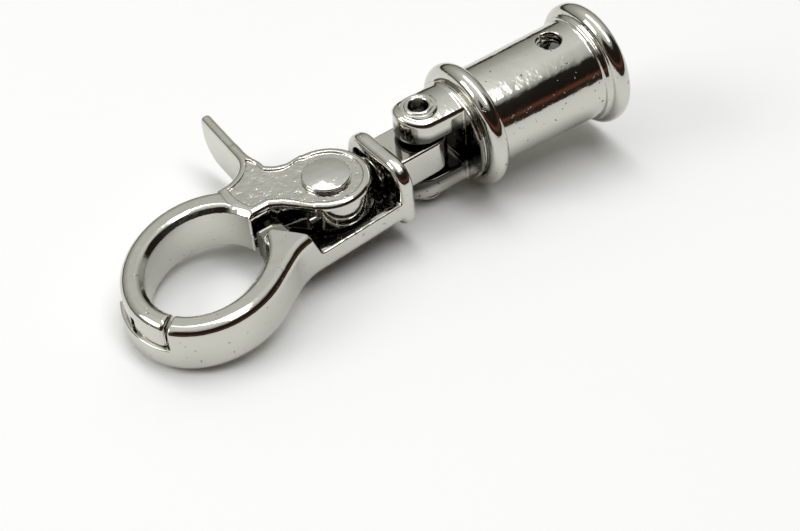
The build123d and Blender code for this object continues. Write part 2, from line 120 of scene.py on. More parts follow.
class CupSizes(bpy.types.PropertyGroup):
    """Sizes of the cord cup and its clevis."""

    barrel_front: length("Barrel front radius", "Radius of the barrel behind the front bead", 6.7)
    barrel_rear: length("Barrel rear radius", "Radius of the barrel in front of the flange", 7.0)
    bead: length("Bead radius", "Outer radius of both beads", 8.5)
    bead_half: length("Front bead half width", "Half of the front bead's width", 1.36)
    flange_half: length("Rear flange half width", "Half of the rear flange's width", 1.39)
    ear_radius: length("Ear radius", "Radius of the ears' outer faces", 6.75)
    ear_half: length("Ear half width", "Half of an ear's width", 3.4)
    ear_gap: length("Half gap", "Half of the gap between the ears", 3.03)
    pin: length("Pin radius", "Radius of the clevis pin", 1.6)


class HookSizes(bpy.types.PropertyGroup):
    """Sizes of the hook and its trigger."""

    ring_x: length("Ring distance", "Distance from the clevis pin to the ring's middle", 34.0)
    ring_y: length("Ring offset", "How far the ring's middle lies to the near side", 2.2)
    opening_a: length("Opening long radius", "Long half axis of the ring's opening", 8.9)
    opening_b: length("Opening short radius", "Short half axis of the ring's opening", 7.0)
    band: length("Band width", "Width of the ring's band", 3.4)
    half_height: length("Half thickness", "Half of the hook's thickness", 3.4)
    outer_round: length("Outer rounding", "Rounding of the ring's outer edges", 1.25)
    boss: length("Boss radius", "Radius of the trigger's boss", 5.7)
    tab: length("Tab thickness", "Thickness of the thumb tab", 1.4)


class Finishes(bpy.types.PropertyGroup):
    """Colours and roughness of the plating and the stage."""

    nickel: tint("Nickel", "Colour of the bright nickel plate", (0.62, 0.615, 0.56))
    rivet: tint("Rivet", "Colour of the plated rivets", (0.64, 0.635, 0.59))
    steel: tint("Spring steel", "Colour of the spring's wire", (0.40, 0.39, 0.37))
    floor: tint("Floor", "Colour of the floor", (0.96, 0.965, 0.965))
    gloss: bpy.props.FloatProperty(
        name="Roughness", description="Roughness of the bright plate", default=0.07, min=0.0, max=1.0
    )
    peel: bpy.props.FloatProperty(
        name="Orange peel", description="Strength of the casting's waviness", default=0.10, min=0.0, max=1.0
    )


# ---------------------------------------------------------------- distance formulas


def both(a, b, r=0.15):
    """Inside a and inside b, with the edge between them rounded to radius r."""
    u, v = a + r, b + r
    return np.minimum(np.maximum(u, v), 0) + np.hypot(np.maximum(u, 0), np.maximum(v, 0)) - r


def either(a, b, r=0.15):
    """Inside a or inside b, with the corner between them filled to radius r."""
    return -both(-a, -b, r)


def without(a, b, r=0.15):
    """Inside a and outside b, with the edge between them rounded to radius r."""
    return both(a, -b, r)


def slab(value, low, high):
    """Distance to the stretch of a coordinate from low to high."""
    return np.abs(value - (low + high) / 2) - (high - low) / 2


def beyond(x, y, p, q):
    """Distance to the right of the line from p to q, negative on its left."""
    run, rise = q[0] - p[0], q[1] - p[1]
    return ((x - p[0]) * rise - (y - p[1]) * run) / math.hypot(run, rise)


def outline(x, y, corners):
    """Distance to a polygon: the least to a side, negative where a ray crosses an odd number of sides."""
    least = np.full(np.shape(x), np.inf)
    inside = np.zeros(np.shape(x), bool)
    for (px, py), (qx, qy) in zip(corners, corners[1:] + corners[:1]):
        run, rise = qx - px, qy - py
        along = np.clip(((x - px) * run + (y - py) * rise) / (run * run + rise * rise), 0, 1)
        least = np.minimum(least, np.hypot(x - px - along * run, y - py - along * rise))
        crosses = ((py > y) != (qy > y)) & (x < run * (y - py) / (rise if rise else 1e-9) + px)
        inside ^= crosses
    return np.where(inside, -least, least)


def blended_lines(x, y, p, corner, q, radius):
    """Distance to the right of the path p, corner, q, whose right turn is blended by an arc."""
    way_in = np.array(corner) - np.array(p)
    way_out = np.array(q) - np.array(corner)
    way_in, way_out = way_in / np.hypot(*way_in), way_out / np.hypot(*way_out)
    right_in, right_out = np.array((way_in[1], -way_in[0])), np.array((way_out[1], -way_out[0]))
    middle = np.array(corner) + radius * (right_in + right_out) / (1 + right_in @ right_out)
    dx, dy = x - middle[0], y - middle[1]
    in_arc = (dx * way_in[0] + dy * way_in[1] > 0) & (dx * way_out[0] + dy * way_out[1] < 0)
    lines = np.minimum(beyond(x, y, p, corner), beyond(x, y, corner, q))
    return np.where(in_arc, radius - np.hypot(dx, dy), lines)


def oval(x, y, a, b):
    """Near distance to an ellipse: the scaled point's length, less one, over its own slope."""
    scaled = np.hypot(x / a, y / b)
    slope = np.hypot(x / a**2, y / b**2)
    return scaled * (scaled - 1) / np.maximum(slope, 1e-6)


def polar(middle, radius, angle):
    """Point at a radius and an angle in degrees from a middle."""
    turn = math.radians(angle)
    return (middle[0] + radius * math.cos(turn), middle[1] + radius * math.sin(turn))


# ---------------------------------------------------------------- meshes


def slope_of(distance, points, step=0.01):
    """Slope of a distance formula at points, from its values a step to each side along each axis."""
    slope = np.empty_like(points)
    for axis in range(3):
        ahead, behind = points.copy(), points.copy()
        ahead[:, axis] += step
        behind[:, axis] -= step
        slope[:, axis] = (distance(*ahead.T) - distance(*behind.T)) / (2 * step)
    return slope


def skin(distance, low, high, cell):
    """Closed surface where a distance formula is zero, as points, quads and outward normals.

    The box is cut into cubes. A cube that the surface crosses gets one point, the mean of the places
    where the surface crosses its edges, and each crossed edge joins the points of its four cubes.
    The points then slide down the slope of the formula until they lie on the surface.
    """
    low, high = np.array(low, float), np.array(high, float)
    counts = np.ceil((high - low) / cell).astype(int) + 1
    ticks = [low[i] + cell * np.arange(counts[i]) for i in range(3)]
    value = distance(*np.meshgrid(*ticks, indexing="ij"))
    inside = value < 0
    cells = counts - 1
    total = np.zeros((*cells, 3))
    hits = np.zeros(cells, int)
    crossings = []
    for axis in range(3):
        first = [slice(None)] * 3
        second = [slice(None)] * 3
        first[axis], second[axis] = slice(0, -1), slice(1, None)
        here, there = value[tuple(first)], value[tuple(second)]
        at = np.argwhere((here < 0) != (there < 0))
        part = here[tuple(at.T)] / (here[tuple(at.T)] - there[tuple(at.T)])
        place = low + cell * at
        place[:, axis] += cell * part
        side_a, side_b = (axis + 1) % 3, (axis + 2) % 3
        ring = []
        for da, db in ((0, 0), (1, 0), (1, 1), (0, 1)):
            neighbour = at.copy()
            neighbour[:, side_a] -= da
            neighbour[:, side_b] -= db
            ring.append(neighbour)
            good = np.all((neighbour >= 0) & (neighbour < cells), axis=1)
            where = tuple(neighbour[good].T)
            np.add.at(total, where, place[good])
            np.add.at(hits, where, 1)
        good = (at[:, side_a] > 0) & (at[:, side_b] > 0)
        good &= (at[:, side_a] < cells[side_a]) & (at[:, side_b] < cells[side_b])
        crossings.append((np.stack(ring, 1)[good], inside[tuple(first)][tuple(at[good].T)]))
    index = np.full(cells, -1)
    used = hits > 0
    index[used] = np.arange(used.sum())
    points = total[used] / hits[used][:, None]
    quads = []
    for ring, starts_inside in crossings:
        quad = index[tuple(ring.transpose(2, 0, 1))]
        quad[starts_inside] = quad[starts_inside][:, ::-1]
        quads.append(quad[:, ::-1])
    for _ in range(4):
        slope = slope_of(distance, points)
        depth = distance(*points.T) / np.maximum((slope**2).sum(1), 0.25)
        points = points - slope * np.clip(depth, -cell / 2, cell / 2)[:, None]
    slope = slope_of(distance, points)
    normals = slope / np.maximum(np.linalg.norm(slope, axis=1), 1e-9)[:, None]
    return points, np.concatenate(quads), normals


def make_piece(name, points, faces, normals, rows, material, marks=None):
    """A mesh object at the origin from points in millimetres in the frame with those rows."""
    mesh = bpy.data.meshes.new(name)
    mesh.from_pydata((points @ rows * MM + PIN).tolist(), [], faces.tolist())
    for label, values in (marks or {}).items():
        mesh.attributes.new(label, "FLOAT", "POINT").data.foreach_set("value", values.astype(np.float32))
    mesh.shade_smooth()
    mesh.normals_split_custom_set_from_vertices((normals @ rows).tolist())
    mesh.materials.append(material)
    mesh.validate()
    piece = bpy.data.objects.new(name, mesh)
    bpy.context.scene.collection.objects.link(piece)
    return piece


def stand_for(piece, node, body):
    """The piece takes the place of a node of the frame."""
    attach(piece, body)
    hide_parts(node)


# ---------------------------------------------------------------- shader groups and materials


def new_group(name, inputs, outputs):
    """A shader node group with float inputs and typed outputs, and its input and output nodes."""
    group = bpy.data.node_groups.new(name, "ShaderNodeTree")
    for label, value in inputs:
        socket = group.interface.new_socket(label, in_out="INPUT", socket_type="NodeSocketFloat")
        socket.default_value = value
    for label, kind in outputs:
        group.interface.new_socket(label, in_out="OUTPUT", socket_type=kind)
    return group, group.nodes.new("NodeGroupInput"), group.nodes.new("NodeGroupOutput")


def object_noise(tree, scale, detail=2.0, roughness=0.5, distortion=0.0):
    """A noise texture on object coordinates, with its scale in features per millimetre."""
    place = tree.nodes.new("ShaderNodeTexCoord")
    noise = tree.nodes.new("ShaderNodeTexNoise")
    noise.inputs["Scale"].default_value = scale / MM
    noise.inputs["Detail"].default_value = detail
    noise.inputs["Roughness"].default_value = roughness
    noise.inputs["Distortion"].default_value = distortion
    tree.links.new(place.outputs["Object"], noise.inputs["Vector"])
    return noise


def calculate(tree, operation, first, second, third=None, clamp=False):
    """A math node on sockets or numbers, and its output."""
    node = tree.nodes.new("ShaderNodeMath")
    node.operation = operation
    node.use_clamp = clamp
    for socket, value in zip(node.inputs, (first, second, third)):
        if value is None:
            continue
        if isinstance(value, (int, float)):
            socket.default_value = value
        else:
            tree.links.new(value, socket)
    return node.outputs[0]


def smooth_step(tree, value, low, high):
    """0 below low, 1 above high and smooth between."""
    node = tree.nodes.new("ShaderNodeMapRange")
    node.interpolation_type = "SMOOTHSTEP"
    node.inputs["From Min"].default_value = low
    node.inputs["From Max"].default_value = high
    tree.links.new(value, node.inputs["Value"])
    return node.outputs["Result"]


def cast_skin_group():
    """Height of a plated casting: long waves, orange peel, and sparse pits, each with its own strength."""
    if "Cast skin" in bpy.data.node_groups:
        return bpy.data.node_groups["Cast skin"]
    group, given, result = new_group(
        "Cast skin",
        [("Waves", 1.0), ("Peel", 1.0), ("Pits", 1.0), ("Hammer", 0.0)],
        [("Height", "NodeSocketFloat"), ("Pit mask", "NodeSocketFloat")],
    )
    waves = object_noise(group, 0.22, 2.0)
    peel = object_noise(group, 0.75, 2.0, 0.45)
    hammer = object_noise(group, 0.95, 3.0, 0.6)
    pit_place = object_noise(group, 1.6, 1.0)
    pits = smooth_step(group, pit_place.outputs["Fac"], 0.715, 0.76)
    height = calculate(group, "MULTIPLY", waves.outputs["Fac"], given.outputs["Waves"])
    peel_height = calculate(group, "MULTIPLY", peel.outputs["Fac"], given.outputs["Peel"])
    height = calculate(group, "MULTIPLY_ADD", peel_height, 0.30, height)
    hammer_height = calculate(group, "MULTIPLY", hammer.outputs["Fac"], given.outputs["Hammer"])
    height = calculate(group, "ADD", height, hammer_height)
    pit_depth = calculate(group, "MULTIPLY", pits, given.outputs["Pits"])
    height = calculate(group, "MULTIPLY_ADD", pit_depth, -0.35, height)
    group.links.new(height, result.inputs["Height"])
    group.links.new(pits, result.inputs["Pit mask"])
    return group


def plate_tone_group():
    """Colour and roughness of worn plate: lighter and darker clouds, fine specks and hazy rubbed patches."""
    if "Plate tone" in bpy.data.node_groups:
        return bpy.data.node_groups["Plate tone"]
    group, given, result = new_group(
        "Plate tone",
        [("Gloss", 0.07), ("Haze", 0.08)],
        [("Shade", "NodeSocketFloat"), ("Roughness", "NodeSocketFloat")],
    )
    clouds = object_noise(group, 0.13, 3.0)
    specks = object_noise(group, 2.6, 2.0, 0.6)
    haze = smooth_step(group, clouds.outputs["Fac"], 0.45, 0.75)
    haze_rise = calculate(group, "MULTIPLY", haze, given.outputs["Haze"])
    roughness = calculate(group, "ADD", haze_rise, given.outputs["Gloss"])
    speck = smooth_step(group, specks.outputs["Fac"], 0.66, 0.74)
    roughness = calculate(group, "MULTIPLY_ADD", speck, 0.12, roughness)
    group.links.new(clouds.outputs["Fac"], result.inputs["Shade"])
    group.links.new(roughness, result.inputs["Roughness"])
    return group


def place_group(tree, group, **values):
    """A group node with its input values."""
    node = tree.nodes.new("ShaderNodeGroup")
    node.node_tree = group
    for label, value in values.items():
        node.inputs[label.capitalize()].default_value = value
    return node


CAST_DEPTH = 0.045  # height of the casting's bumps, in millimetres
SHADED = 0.94  # brightness of the darker clouds in the plate's tone
DIRT = (0.22, 0.20, 0.17, 1)
# Painted shade: a near-black colour put into recesses, and how much of it the deep attribute brings in.
PAINTED_SHADE = (0.035, 0.032, 0.028, 1)
PAINTED_SHADE_SHARE = 0.9


def metal(name, colour, gloss, haze=0.08, waves=1.0, peel=1.0, pits=0.6, hammer=0.0, depth=0.012):
    """Plated metal: a mirror with the tone and skin groups.

    The field attribute brings in the hammer marks, and the deep attribute paints shade into recesses.
    """
    material = bpy.data.materials.new(name)
    material.use_nodes = True
    tree = material.node_tree
    shader = tree.nodes["Principled BSDF"]
    shader.inputs["Metallic"].default_value = 1.0
    tone = place_group(tree, plate_tone_group(), gloss=gloss, haze=haze)
    skin_node = place_group(tree, cast_skin_group(), waves=waves, peel=peel, pits=pits)
    if hammer:
        field = tree.nodes.new("ShaderNodeAttribute")
        field.attribute_name = "field"
        hammer_mask = calculate(tree, "MULTIPLY", field.outputs["Fac"], hammer)
        tree.links.new(hammer_mask, skin_node.inputs["Hammer"])
    mix = tree.nodes.new("ShaderNodeMix")
    mix.data_type = "RGBA"
    mix.inputs["A"].default_value = (*[channel * SHADED for channel in colour], 1)
    mix.inputs["B"].default_value = (*colour, 1)
    tree.links.new(tone.outputs["Shade"], mix.inputs["Factor"])
    dirt = tree.nodes.new("ShaderNodeMix")
    dirt.data_type = "RGBA"
    dirt.inputs["B"].default_value = DIRT
    tree.links.new(mix.outputs["Result"], dirt.inputs["A"])
    pit_mask = calculate(tree, "MULTIPLY", skin_node.outputs["Pit mask"], 0.5 * pits)
    tree.links.new(pit_mask, dirt.inputs["Factor"])
    # Painted shade: the deep attribute mixes a near-black colour into recesses where light falls short.
    recess = tree.nodes.new("ShaderNodeAttribute")
    recess.attribute_name = "deep"
    painted_shade_mix = tree.nodes.new("ShaderNodeMix")
    painted_shade_mix.data_type = "RGBA"
    painted_shade_mix.inputs["B"].default_value = PAINTED_SHADE
    tree.links.new(dirt.outputs["Result"], painted_shade_mix.inputs["A"])
    painted_shade_mask = calculate(tree, "MULTIPLY", recess.outputs["Fac"], PAINTED_SHADE_SHARE)
    tree.links.new(painted_shade_mask, painted_shade_mix.inputs["Factor"])
    tree.links.new(painted_shade_mix.outputs["Result"], shader.inputs["Base Color"])
    tree.links.new(tone.outputs["Roughness"], shader.inputs["Roughness"])
    bump = tree.nodes.new("ShaderNodeBump")
    bump.inputs["Strength"].default_value = 1.0
    bump.inputs["Distance"].default_value = depth * MM
    tree.links.new(skin_node.outputs["Height"], bump.inputs["Height"])
    tree.links.new(bump.outputs["Normal"], shader.inputs["Normal"])
    return material


def soft(value, width=0.6):
    """1 well below zero, 0 well above it, and a straight run between, over the given width."""
    return np.clip(0.5 - value / width, 0, 1)


def cup_sizes():
    """The cup's sizes in millimetres."""
    sizes = bpy.context.scene.clasp_cup
    return {key: getattr(sizes, key) / MM for key in CupSizes.__annotations__}


def hook_sizes():
    """The hook's sizes in millimetres."""
    sizes = bpy.context.scene.clasp_hook
    return {key: getattr(sizes, key) / MM for key in HookSizes.__annotations__}


# ---------------------------------------------------------------- cord cup

CUP_LENGTH = MOUTH_X + 0.6
DISC_X = 4.6
BEAD_X = 6.95
GROOVE_R = 6.25
DISC_R = 6.85
DISC_THICK = 0.65
RIB_R = 7.35
RIB_WIDTH = 0.75
CORD_R = 5.1
CORD_DEPTH = 18.4
SCREW_R = 1.66
THREAD_PITCH = 0.7
THREAD_DEPTH = 0.17
EAR_BOSS_R = 2.35
PIN_TOP = 6.81
PIN_HEAD_R = 2.3
PIN_HEAD_H = 0.6
PIN_HOLE_R = 1.3
PIN_HOLE_DEPTH = 2.4
FLARE = 1.85
FLARE_H = 0.35
EYE_HALF_WIDTH = 3.3
EYE_HALF_HEIGHT = 2.4
TONGUE_END = -6.0
SHANK_R = 1.7
STUD_HEAD_R = 2.5
STUD_SEAT = -7.46
STUD_END = -8.31


def cup_distance(x, y, z):
    """The cup: a turned profile with two full-round beads, less its bore, joined to two rounded ears.

    The turned part is a formula of x and the distance r from the axis. The ears are the common part
    of a cylinder about X, a full-round strip about Z and the space above and below the gap. The
    screw hole's wall swings in and out once each turn and each pitch, which cuts a thread.
    """
    s = cup_sizes()
    r = np.hypot(y, z)
    tube, flange_tube = s["bead"] - s["bead_half"], s["bead"] - s["flange_half"]
    flange_x = CUP_LENGTH - s["flange_half"]
    grow = (s["barrel_rear"] - s["barrel_front"]) / (flange_x - BEAD_X)
    barrel = both(r - s["barrel_front"] - grow * (x - BEAD_X), slab(x, BEAD_X, flange_x), 0.1)
    neck = both(r - GROOVE_R, slab(x, DISC_X + 0.2, BEAD_X), 0.1)
    disc = both(r - DISC_R, slab(x, DISC_X, DISC_X + DISC_THICK), 0.22)
    front_bead = np.hypot(x - BEAD_X, r - tube) - s["bead_half"]
    rear_bead = np.hypot(x - flange_x, r - flange_tube) - s["flange_half"]
    mouth = both(r - flange_tube, slab(x, flange_x, CUP_LENGTH), 0.05)
    rib_end = flange_x - s["flange_half"]
    rib = both(r - RIB_R, slab(x, rib_end - RIB_WIDTH, rib_end + 0.3), 0.2)
    turned = either(barrel, neck, 0.1)
    turned = either(either(turned, front_bead, 0.35), disc, 0.15)
    turned = either(either(turned, rib, 0.25), either(rear_bead, mouth, 0.05), 0.3)
    nose = np.where(x < 0, np.hypot(x, y), np.abs(y)) - s["ear_half"]
    ears = both(both(nose, x - DISC_X - 0.3, 0.05), r - s["ear_radius"], 0.5)
    ears = without(ears, both(slab(z, -s["ear_gap"], s["ear_gap"]), x - DISC_X, 0.9), 0.3)
    shape = either(turned, ears, 0.3)
    rim = both(np.hypot(x, y) - EAR_BOSS_R, np.abs(z) - PIN_TOP, 0.12)
    rim = both(rim, s["ear_gap"] - np.abs(z) + 0.6, 0.05)
    shape = either(shape, rim, 0.15)
    flare = np.maximum(np.abs(z) - PIN_TOP + FLARE_H, 0) * (FLARE - s["pin"]) / FLARE_H
    shape = without(shape, np.hypot(x, y) - s["pin"] - flare, 0.06)
    bore = both(r - CORD_R, slab(x, MOUTH_X - CORD_DEPTH, CUP_LENGTH + 1), 0.3)
    shape = without(shape, bore, 0.5)
    from_hole = np.hypot(x - SCREW_X, y)
    turn = np.arctan2(y, x - SCREW_X) / (2 * math.pi)
    thread = THREAD_DEPTH * np.abs(2 * np.mod(z / THREAD_PITCH - turn, 1) - 1) - 0.05
    hole = np.maximum(from_hole - SCREW_R - thread, -z)
    return without(shape, hole, 0.16)


def pin_distance(x, y, z):
    """The clevis pin: a shank with a low head below and a rolled, flared rim round a blind hole above."""
    s = cup_sizes()
    r = np.hypot(x, y)
    flare = np.clip(z - PIN_TOP + FLARE_H, 0, FLARE_H) * (FLARE - s["pin"]) / FLARE_H
    shank = both(r - s["pin"] - flare, slab(z, -PIN_TOP, PIN_TOP), 0.04)
    rolled = np.hypot(r - 1.58, (z - PIN_TOP + 0.12) * 1.1) - 0.27
    shape = either(shank, rolled, 0.05)
    head = both(r - PIN_HEAD_R, slab(z, -PIN_TOP - PIN_HEAD_H, -PIN_TOP), 0.28)
    shape = either(shape, head, 0.05)
    hole = both(r - PIN_HOLE_R, PIN_TOP - PIN_HOLE_DEPTH + 0.45 * r - z, 0.25)
    return without(shape, hole, 0.05)


def tongue_distance(x, y, z):
    """The tongue: a full-round eye, a stud along X and the stud's riveted head."""
    s = cup_sizes()
    eye = both(np.where(x > 0, np.hypot(x, y), np.abs(y)) - EYE_HALF_WIDTH, TONGUE_END - x, 0.1)
    eye = both(eye, np.abs(z) - EYE_HALF_HEIGHT, 0.45)
    eye = without(eye, np.hypot(x, y) - s["pin"] - 0.05, 0.12)
    r = np.hypot(y, z)
    stud = both(r - SHANK_R, slab(x, -7.6, -5.9), 0.05)
    head = both(r - STUD_HEAD_R, slab(x, STUD_END, STUD_SEAT), 0.3)
    return either(either(eye, stud, 0.05), head, 0.05)


# ---------------------------------------------------------------- hook and trigger

TURN = 35.0
SPLIT = 216.0
LEDGE = 158.0
NECK = 52.0
HEEL_X = -22.8
WALL_FRONT = (-23.3, -7.75)
WALL_REAR_Y = -7.0
WALL_BLEND = 9.0
HUB_R = 6.0
FLOOR_Z = -1.0
LUG_TOP = 1.4
SHOULDER = (-24.8, -3.1)
LUG_X = -22.3
RING_CHAMFER = 0.75
LAP_GAP = 0.12
SPLIT_GAP = 2.8
COLLAR_FRONT = -8.4
COLLAR_REAR = -6.3
COLLAR_Y = (-7.3, 4.8)
COLLAR_Z = (-4.3, 4.9)
RIVET_R = 1.9
LEVER_UNDER = -0.6
RECESS = 0.22
POCKET_R = (2.7, 4.45)
POCKET_TOP = 1.9
TAB_LENGTH = 12.2
TAB_BOTTOM = -2.9
TAB_FOOT = (-20.35, 8.6)
TAB_LEAN = math.radians(4.0)


def ring_coordinates(x, y, s, shift=0.0):
    """Coordinates along the ring's long and short axes."""
    turn = math.radians(TURN)
    dx, dy = x + s["ring_x"] - shift, y + s["ring_y"]
    return dx * math.cos(turn) + dy * math.sin(turn), dy * math.cos(turn) - dx * math.sin(turn)


def past_angle(x, y, s, angle):
    """Distance to the side where the angle seen from the ring's middle is greater than the given one."""
    turn = math.radians(angle)
    return (x + s["ring_x"]) * math.sin(turn) - (y + s["ring_y"]) * math.cos(turn)


def opening_distance(x, y, z, s):
    """The ring's opening, which widens towards both faces by a chamfer."""
    chamfer = np.maximum(np.abs(z) - s["half_height"] + RING_CHAMFER, 0)
    return oval(*ring_coordinates(x, y, s), s["opening_a"], s["opening_b"]) - chamfer


def ring_touch(s):
    """Where the flank's line touches the ring's outline: the point, and its angle seen from the middle."""
    a, b = s["opening_a"] + s["band"], s["opening_b"] + s["band"]
    u, v = ring_coordinates(*WALL_FRONT, s)
    way = math.atan2(v / b, u / a) - math.acos(1 / math.hypot(u / a, v / b))
    turn = math.radians(TURN)
    u, v = a * math.cos(way), b * math.sin(way)
    du, dv = u * math.cos(turn) - v * math.sin(turn), u * math.sin(turn) + v * math.cos(turn)
    return (du - s["ring_x"], dv - s["ring_y"]), math.degrees(math.atan2(dv, du))


def body_distance(x, y, z):
    """The hook's body: the near half of the ring, half lap, shoulder, lug, channel and collar.

    The footprint is the ring's outline and a flank that touches it and blends into the wall. The half
    lap, the nook behind the shoulder, the channel and the slope of the notch are cut from above.
    """
    s = hook_sizes()
    high = s["half_height"]
    ring = oval(*ring_coordinates(x, y, s), s["opening_a"] + s["band"], s["opening_b"] + s["band"])
    touch, angle = ring_touch(s)
    flank = blended_lines(x, y, touch, WALL_FRONT, (COLLAR_FRONT, WALL_REAR_Y), WALL_BLEND)
    foot = np.where(past_angle(x, y, s, angle) < 0, flank, ring)
    shape = both(foot, np.abs(z) - high, s["outer_round"])
    hub = np.hypot(x - PIVOT[0], y - PIVOT[1]) - HUB_R
    rear = beyond(x, y, (COLLAR_FRONT, COLLAR_Y[1] - 0.75), (PIVOT[0], PIVOT[1] + HUB_R))
    far_side = np.minimum(y + 0.3, np.minimum(hub, np.maximum(PIVOT[0] - x, rear)))
    far_side = np.minimum(far_side, np.maximum(past_angle(x, y, s, LEDGE), x + s["ring_x"] - 1))
    shape = both(shape, far_side, 0.25)
    lap = np.maximum(past_angle(x, y, s, LEDGE - SPLIT_GAP), -past_angle(x, y, s, SPLIT))
    lap = both(-z, lap, 0.15)
    shape = without(shape, lap, 0.25)
    nook = both(LUG_TOP - z, both(slab(x, -30, LUG_X), SHOULDER[1] - y, 0.3), 0.2)
    shape = without(shape, nook, 0.3)
    channel = [SHOULDER, (-22.2, -6.55), (-7.4, -6.0), (-7.4, 7.3), (LUG_X, 7.3), (LUG_X, SHOULDER[1])]
    channel = both(outline(x, y, channel), FLOOR_Z - z, 0.3)
    shape = without(shape, channel, 0.25)
    slope = both(-beyond(x, z, (-20.9, -0.2), (-22.33, 3.76)), -0.2 - z, 0.3)
    shape = without(shape, np.maximum(slope, -23.5 - x), 0.25)
    shape = both(shape, x - COLLAR_FRONT - 0.3, 0.05)
    shape = without(shape, opening_distance(x, y, z, s), 0.25)
    across = both(slab(y, *COLLAR_Y), slab(z, *COLLAR_Z), np.where(z > 0, 3.4, 1.5))
    collar = both(across, slab(x, COLLAR_FRONT, COLLAR_REAR), 0.85)
    shape = either(shape, collar, 0.3)
    room = both(slab(y, COLLAR_Y[0] + 1.7, COLLAR_Y[1] - 1.7), slab(z, FLOOR_Z, COLLAR_Z[1] - 1.7), 1.2)
    room = both(room, x + 7.4, 0.2)
    seat = both(np.hypot(y, z) - 2.8, x + 7.4, 0.1)
    room = both(np.minimum(room, seat), -9.0 - x, 0.1)
    shape = without(shape, room, 0.15)
    shape = without(shape, both(np.hypot(y, z) - 1.76, slab(x, -9, -6), 0.05), 0.08)
    return without(shape, np.hypot(x - PIVOT[0], y - PIVOT[1]) - RIVET_R, 0.08)


def neck_point(s):
    """Where the ring's outline meets the far edge of the trigger's plate."""
    seen = math.radians(NECK - TURN)
    a, b = s["opening_a"] + s["band"], s["opening_b"] + s["band"]
    reach = 1 / math.hypot(math.cos(seen) / a, math.sin(seen) / b)
    return polar((0.5 - s["ring_x"], -s["ring_y"]), reach, NECK)


def plate_outline(x, y, s):
    """Outline of the trigger's plate: its boss and arm, with the tab's strip flared into them."""
    boss = np.hypot(x - PIVOT[0], y - PIVOT[1]) - s["boss"]
    arm = [neck_point(s), (-27, 0.6), (HEEL_X, 0.6), (-21.5, -0.3), (-18.79, -3.49), tuple(PIVOT)]
    arm += [(PIVOT[0], PIVOT[1] + s["boss"]), (-20.3, PIVOT[1] + s["boss"]), (-20.5, 7.7)]
    plate = either(boss, outline(x, y, arm), 0.3)
    along = (x - TAB_FOOT[0]) * math.sin(TAB_LEAN) + (y - TAB_FOOT[1]) * math.cos(TAB_LEAN)
    beside = (x - TAB_FOOT[0]) * math.cos(TAB_LEAN) - (y - TAB_FOOT[1]) * math.sin(TAB_LEAN)
    strip = np.maximum(np.abs(beside) - s["tab"] / 2 + 0.05, slab(along, -3, 4.6))
    return either(plate, strip, 3.9), along, beside


def field_depth(x, y, s):
    """Distance inside the raised rim of the trigger's plate, positive in the recessed field."""
    plate, along, beside = plate_outline(x, y, s)
    near_ring = beyond(x, y, (HEEL_X - 3.2, 6.55), (HEEL_X - 1.9, 2.1))
    edge = both(both(plate + 1.1, along - 1.6, 0.5), near_ring, 0.4)
    return -edge


def trigger_distance(x, y, z):
    """The trigger: the far half of the ring, the plate and boss, the thumb tab, and the spring's pocket."""
    s = hook_sizes()
    high = s["half_height"]
    ring = oval(*ring_coordinates(x, y, s, 0.5), s["opening_a"] + s["band"], s["opening_b"] + s["band"])
    half = np.minimum(-past_angle(x, y, s, SPLIT - SPLIT_GAP), 0.6 - y)
    neck = neck_point(s)
    end = beyond(x, y, (-27, 0.6), neck)
    ring = both(ring, np.abs(z) - high, s["outer_round"])
    ring = both(both(ring, half, 0.6), end, 0.2)
    plate, along, beside = plate_outline(x, y, s)
    top = both(both(plate, z - high, 0.75), LEVER_UNDER - z, 0.15)
    top = both(top, -end - 1.5, 0.05)
    root = outline(x, y, [(-27, 0.6), (HEEL_X, 0.6), (HEEL_X, 7.1), neck])
    root = both(root, slab(z, -high, 0), 0.2)
    tab = both(np.abs(beside) - s["tab"] / 2, slab(along, -2.5, TAB_LENGTH), 0.62)
    corner = both(both(along - TAB_LENGTH, TAB_BOTTOM - z, 3.8), z - high, 0.75)
    tab = both(tab, corner, 0.6)
    shape = either(either(ring, top, 0.5), either(root, tab, 0.2), 0.35)
    lap = np.maximum(past_angle(x, y, s, LEDGE - SPLIT_GAP), x + s["ring_x"] - 4)
    lap = both(z - LAP_GAP, lap, 0.1)
    shape = without(shape, lap, 0.2)
    field = both(-field_depth(x, y, s), high - RECESS - z, 0.1)
    shape = without(shape, field, 0.12)
    from_pivot = np.hypot(x - PIVOT[0], y - PIVOT[1])
    pocket = both(slab(from_pivot, *POCKET_R), z - POCKET_TOP, 0.2)
    notch = both(slab(y, PIVOT[1] - 4.06, PIVOT[1] - 3.04), both(x - PIVOT[0] + 1, z - 1.87, 0.1), 0.1)
    shape = without(shape, np.minimum(pocket, notch), 0.12)
    shape = without(shape, from_pivot - 1.96, 0.1)
    return without(shape, opening_distance(x, y, z, s), 0.25)


def rivet_distance(x, y, z):
    """The pivot rivet: a shank with a low domed head above and a flatter foot below."""
    r = np.hypot(x - PIVOT[0], y - PIVOT[1])
    shank = both(r - RIVET_R, slab(z, -3.5, 3.4), 0.05)
    dome = np.sqrt(r**2 + (z + 16.0) ** 2) - 20.02
    head = both(both(r - 3.15, 3.22 - z, 0.08), dome, 0.24)
    groove = np.hypot(r - 2.78, z - 3.97) - 0.07
    foot = both(r - 2.7, slab(z, -3.9, -3.4), 0.3)
    return either(either(shank, without(head, groove, 0.05), 0.05), foot, 0.05)


# ---------------------------------------------------------------- operators


